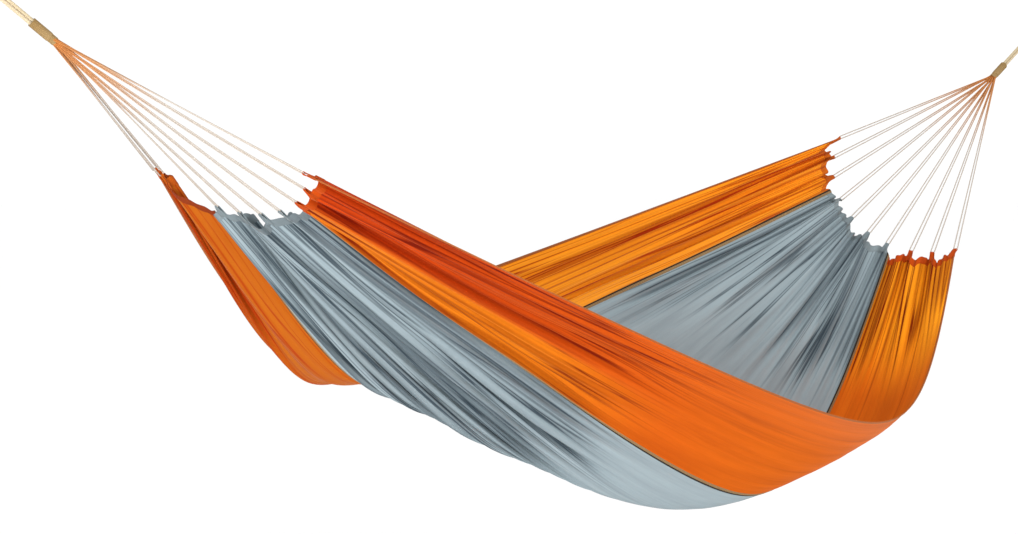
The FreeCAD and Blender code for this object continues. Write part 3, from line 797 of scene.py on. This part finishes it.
def peak_axes(side, index):
    """At a peak: its point, the way up the cord, across its two strands, and out of the cloth."""
    v = PEAKS[index]
    tip = fan_tip(side, v)
    up_cord = unit(neck(side) - tip)
    root = cloth_points(np.array([v]), np.array([0.0 if side == "left" else 1.0]))[0, 0]
    beside = fan_tip(side, v + 0.02 if v < 0.5 else v - 0.02) - tip
    beside = beside if v < 0.5 else -beside
    across = unit(-beside - up_cord * (up_cord @ -beside))
    if side == "left" and index < GATHERED:
        across = unit(np.cross(up_cord, across))
    out = tip - root
    return tip, up_cord, across, unit(out - across * (out @ across))


def rounded(route, radii, step=0.0012):
    """Points along straight runs joined by tangent arcs: each arc swings from the end of one run, about a
    centre on the corner's middle line, by the angle between the two runs."""
    points = [route[:1]]
    for before, corner, after, radius in zip(route, route[1:], route[2:], radii):
        come, go = unit(corner - before), unit(after - corner)
        half = 0.5 * math.acos(float(np.clip(come @ go, -1, 1)))
        centre = corner + unit(go - come) * (radius / math.cos(half))
        arm = corner - come * radius * math.tan(half) - centre
        turn = np.linspace(0, 2 * half, max(4, int(radius * 2 * half / step)) + 1)[:, None]
        points.append(centre + arm * np.cos(turn) + come * radius * np.sin(turn))
    return np.concatenate(points + [route[-1:]])


def evenly(points, step):
    """The same line with points about one step apart."""
    run = np.concatenate([[0], np.cumsum(np.linalg.norm(np.diff(points, axis=0), axis=1))])
    where = np.linspace(0, run[-1], max(2, int(round(run[-1] / step))) + 1)
    return np.stack([np.interp(where, run, points[:, j]) for j in range(3)], -1), where


def tube(name, line, radius, square, sides=10, swell=None, uv_from=None):
    """Tube along a line that lies nearly in the plane square to the given direction. Its ring directions are
    that direction cross the line's own, and square to both. swell(length, angle) scales its radius. Its ends
    are closed by rings that shrink to a point, and its UV is length along and share round."""
    points, where = line
    way = unit(np.gradient(points, axis=0))
    a = unit(np.cross(square, way))
    b = np.cross(way, a)
    angle = np.linspace(0, 2 * math.pi, sides, endpoint=False)
    r = radius * (np.ones((len(points), sides)) if swell is None else swell(where[:, None], angle[None, :]))
    spoke = np.cos(angle)[None, :, None] * a[:, None] + np.sin(angle)[None, :, None] * b[:, None]
    p = points[:, None] + r[..., None] * spoke
    caps = [np.repeat(points[end][None, None], sides, 1) for end in (0, -1)]
    p = np.concatenate([caps[0], p, caps[1]])
    along = where if uv_from is None else uv_from(where)
    along = np.concatenate([along[:1], along, along[-1:]])
    uv = np.stack(np.broadcast_arrays(along[:, None], np.linspace(0, 1, sides + 1)[None, :]), -1)
    return grid_object(name, p, uv, wrap=(False, True))


def cord(side, index, slots):
    """One cord from just inside the neck, under its wrap, to its ear, round it, and back."""
    tip, up_cord, across, _ = peak_axes(side, index)
    first, second = slots[2 * index], slots[2 * index + 1]
    if (first - second) @ across < 0:
        first, second = second, first
    down = neck_axes(side)[0]
    route = np.array([first - down * NECK_END, first, tip + across * BIGHT, tip - across * BIGHT, second,
                      second - down * NECK_END])
    line = evenly(rounded(route, (0.01, 0.98 * BIGHT, 0.98 * BIGHT, 0.01)), 0.003)
    half = 0.5 * line[1][-1]
    made = tube("cord_%s_strand_pair_%02d" % (side, index + 1), line, CORD_RADIUS, np.cross(across, up_cord), 8,
                uv_from=lambda w: half - np.abs(w - half))
    return place(made, "bed", "cord", CORD, "cord_%s_%02d" % (side, index + 1))


def ear(side, index):
    """The edge's own cloth gathered and folded over the cord: a round bend at the peak, and two tails that
    follow the outer and inner faces of the end hem, where they are sewn down."""
    tip, _, across, out = peak_axes(side, index)
    lift = unit(np.cross(out, across))
    x = np.linspace(-1, 1, 7)
    v = PEAKS[index] + x * 0.0135 / CLOTH_WIDTH
    v = v + max(0.0, -v[0]) - max(0.0, v[-1] - 1)
    depth = np.array([0.016, 0.012, 0.008, 0.004, 0.001]) / MEAN_LENGTH
    face, n = (f.transpose(1, 0, 2) for f in cloth_at(v, depth if side == "left" else 1 - depth))
    if n[-1, 3] @ lift < 0:
        lift = -lift
    along = across if (face[-1, 6] - face[-1, 0]) @ across > 0 else -across
    turn = np.linspace(0.5 * math.pi, -0.5 * math.pi, 11)[:, None, None]
    bend = tip + 0.0024 * (np.cos(turn) * out + np.sin(turn) * lift) + (0.0048 * x)[None, :, None] * along
    rows = np.concatenate([face + n * 0.0014, bend, (face - n * 0.0014)[::-1]])
    rows = blur(rows, 2, 0)
    outward = unit(np.cross(np.gradient(rows, axis=1), np.gradient(rows, axis=0)))
    pucker = 0.0004 * np.sin(3 * math.pi * x + index)[None, :, None] * outward
    p = np.concatenate([rows + outward * 0.0006 + pucker, (rows - outward * 0.0004 + pucker)[:, ::-1]], 1)
    middle = rows.mean(1)
    p = np.concatenate([np.repeat(middle[:1, None], 14, 1), p, np.repeat(middle[-1:, None], 14, 1)])
    run = np.linspace(0, 0.045, len(p))
    uv = np.stack(np.broadcast_arrays(PEAKS[index] * CLOTH_WIDTH + np.linspace(-0.004, 0.004, 15)[None, :],
                                      run[:, None]), -1)
    made = grid_object("ear", p, uv, wrap=(False, True))
    # painted light: the ears take a tone between their shaded and lit copies
    mask(made, "light", np.full(p.shape[:2], 0.55))
    return made


def rope_swell(where, angle):
    """Three strands laid round each other: the radius is the size of a cosine of half the strand count."""
    return 0.90 + 0.10 * np.abs(np.cos(1.5 * (angle + where * 260)))


def eye(side):
    """The rope loop that a hook holds; its two legs lie side by side in the whipping."""
    down, far, top = neck_axes(side)
    hook = np.zeros(3) if side == "left" else np.array([SPAN, 0, 0])
    rope = 0.0034
    wide = 0.012 + rope
    outline = [(NECK_LENGTH - LOOP_END, 0.00345), (0.080, 0.00345), (0.024, wide), (-rope, wide)]
    outline += [(a, -b) for a, b in outline[::-1]]
    route = np.array([hook + down * a + top * b for a, b in outline])
    saddle = 0.98 * wide
    line = evenly(rounded(route, (0.06, 0.03, saddle, saddle, 0.03, 0.06)), 0.0012)
    made = tube("hanging_loop_" + side, line, rope, far, 24, swell=rope_swell)
    return place(made, "hangers", "rope", ROPE, "eye_" + side)


def sleeve(name, side, profile, sides=48):
    """Turned piece round the neck's axis. The profile is (distance down from the neck, radius), a closed
    outline."""
    down, far, top = neck_axes(side)
    angle = np.linspace(0, 2 * math.pi, sides, endpoint=False)
    spoke = np.cos(angle)[:, None] * far + np.sin(angle)[:, None] * top
    p = neck(side) + profile[:, 0][:, None, None] * down + profile[:, 1][:, None, None] * spoke[None]
    run = np.linspace(0, 0.1, len(profile) + 1)
    uv = np.stack(np.broadcast_arrays(run[:, None], np.linspace(0, 1, sides + 1)[None, :]), -1)
    return grid_object(name, p, uv, wrap=(True, True))


def coils(start, end, radius, bump, pitch, inside):
    """Outline of a sleeve wound from thread: a row of round coils outside, and a plain bore."""
    turns = max(1, int(round((end - start) / pitch)))
    t = np.linspace(0, 1, turns * 8 + 1)
    outer = np.stack([start + (end - start) * t, radius + bump * np.abs(np.sin(math.pi * turns * t))], -1)
    inner = np.stack([np.linspace(end, start, 9), np.full(9, inside)], -1)
    return np.concatenate([outer, inner])


for side in ("left", "right"):
    slots = neck_slots(side)
    for k in range(len(PEAKS)):
        cord(side, k, slots)
    ears = joined("cord_ears_" + side, [ear(side, k) for k in range(len(PEAKS))])
    place(ears, "bed", "ear_tape", EAR_CLOTH, "ears_" + side)
    eye(side)
    place(sleeve("bound_neck_" + side, side, coils(*BOUND_NECK, 0.0086, 0.0006, 0.0021, 0.0070)), "hangers",
          "binding", BINDING, "whipping_" + side)
    wrap = sleeve("neck_wrap_" + side, side, coils(*NECK_WRAP, 0.0080, 0.0004, 0.0018, 0.0076))
    place(wrap, None, "binding", BINDING)
    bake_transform(wrap)


# ---- room, light and camera ----
floor_z = -1.55
floor = grid_object("floor", np.array([[(-30.0, -12.0, floor_z), (-30.0, 45.0, floor_z)],
                                       [(40.0, -12.0, floor_z), (40.0, 45.0, floor_z)]]), np.zeros((2, 2, 2)))
paper, _, paper_shader, _ = shader_tree("floor")
paper_shader.inputs["Base Color"].default_value = (0.96, 0.96, 0.96, 1)
paper_shader.inputs["Roughness"].default_value = 0.9
paper_shader.inputs["Specular IOR Level"].default_value = 0.1
floor.data.materials.append(paper)

world = bpy.data.worlds.new("studio")
world.use_nodes = True
world.node_tree.nodes["Background"].inputs[0].default_value = (1.0, 1.0, 1.0, 1)
world.node_tree.nodes["Background"].inputs[1].default_value = 1.05
bpy.context.scene.world = world


def area_light(name, at, target, size, power, colour=(1, 1, 1)):
    """A soft rectangular light that faces its target."""
    data = bpy.data.lights.new(name, "AREA")
    data.shape = "RECTANGLE"
    data.size, data.size_y = size
    data.energy = power
    data.color = colour
    obj = bpy.data.objects.new(name, data)
    obj.location = at
    obj.rotation_mode = "QUATERNION"
    obj.rotation_quaternion = (Vector(target) - Vector(at)).to_track_quat("-Z", "Y")
    bpy.context.scene.collection.objects.link(obj)


area_light("window", (2.6, -3.4, 1.4), (1.6, 0.0, -0.7), (1.4, 1.0), 26)
area_light("low_fill", (-1.5, -2.6, -1.2), (0.4, 0.0, -0.7), (2.6, 0.8), 112)

data = bpy.data.cameras.new("camera")
data.sensor_width = 36
data.lens = 62.66
camera = bpy.data.objects.new("camera", data)
yaw, pitch = math.radians(-33.56), math.radians(3.41)
back = Vector((math.sin(yaw) * math.cos(pitch), -math.cos(yaw) * math.cos(pitch), math.sin(pitch)))
camera.location = (-0.9236, -3.139, -0.352)
camera.rotation_mode = "QUATERNION"
camera.rotation_quaternion = (-back).to_track_quat("-Z", "Y")
bpy.context.scene.collection.objects.link(camera)
bpy.context.scene.camera = camera
bpy.context.scene.view_settings.view_transform = "Standard"
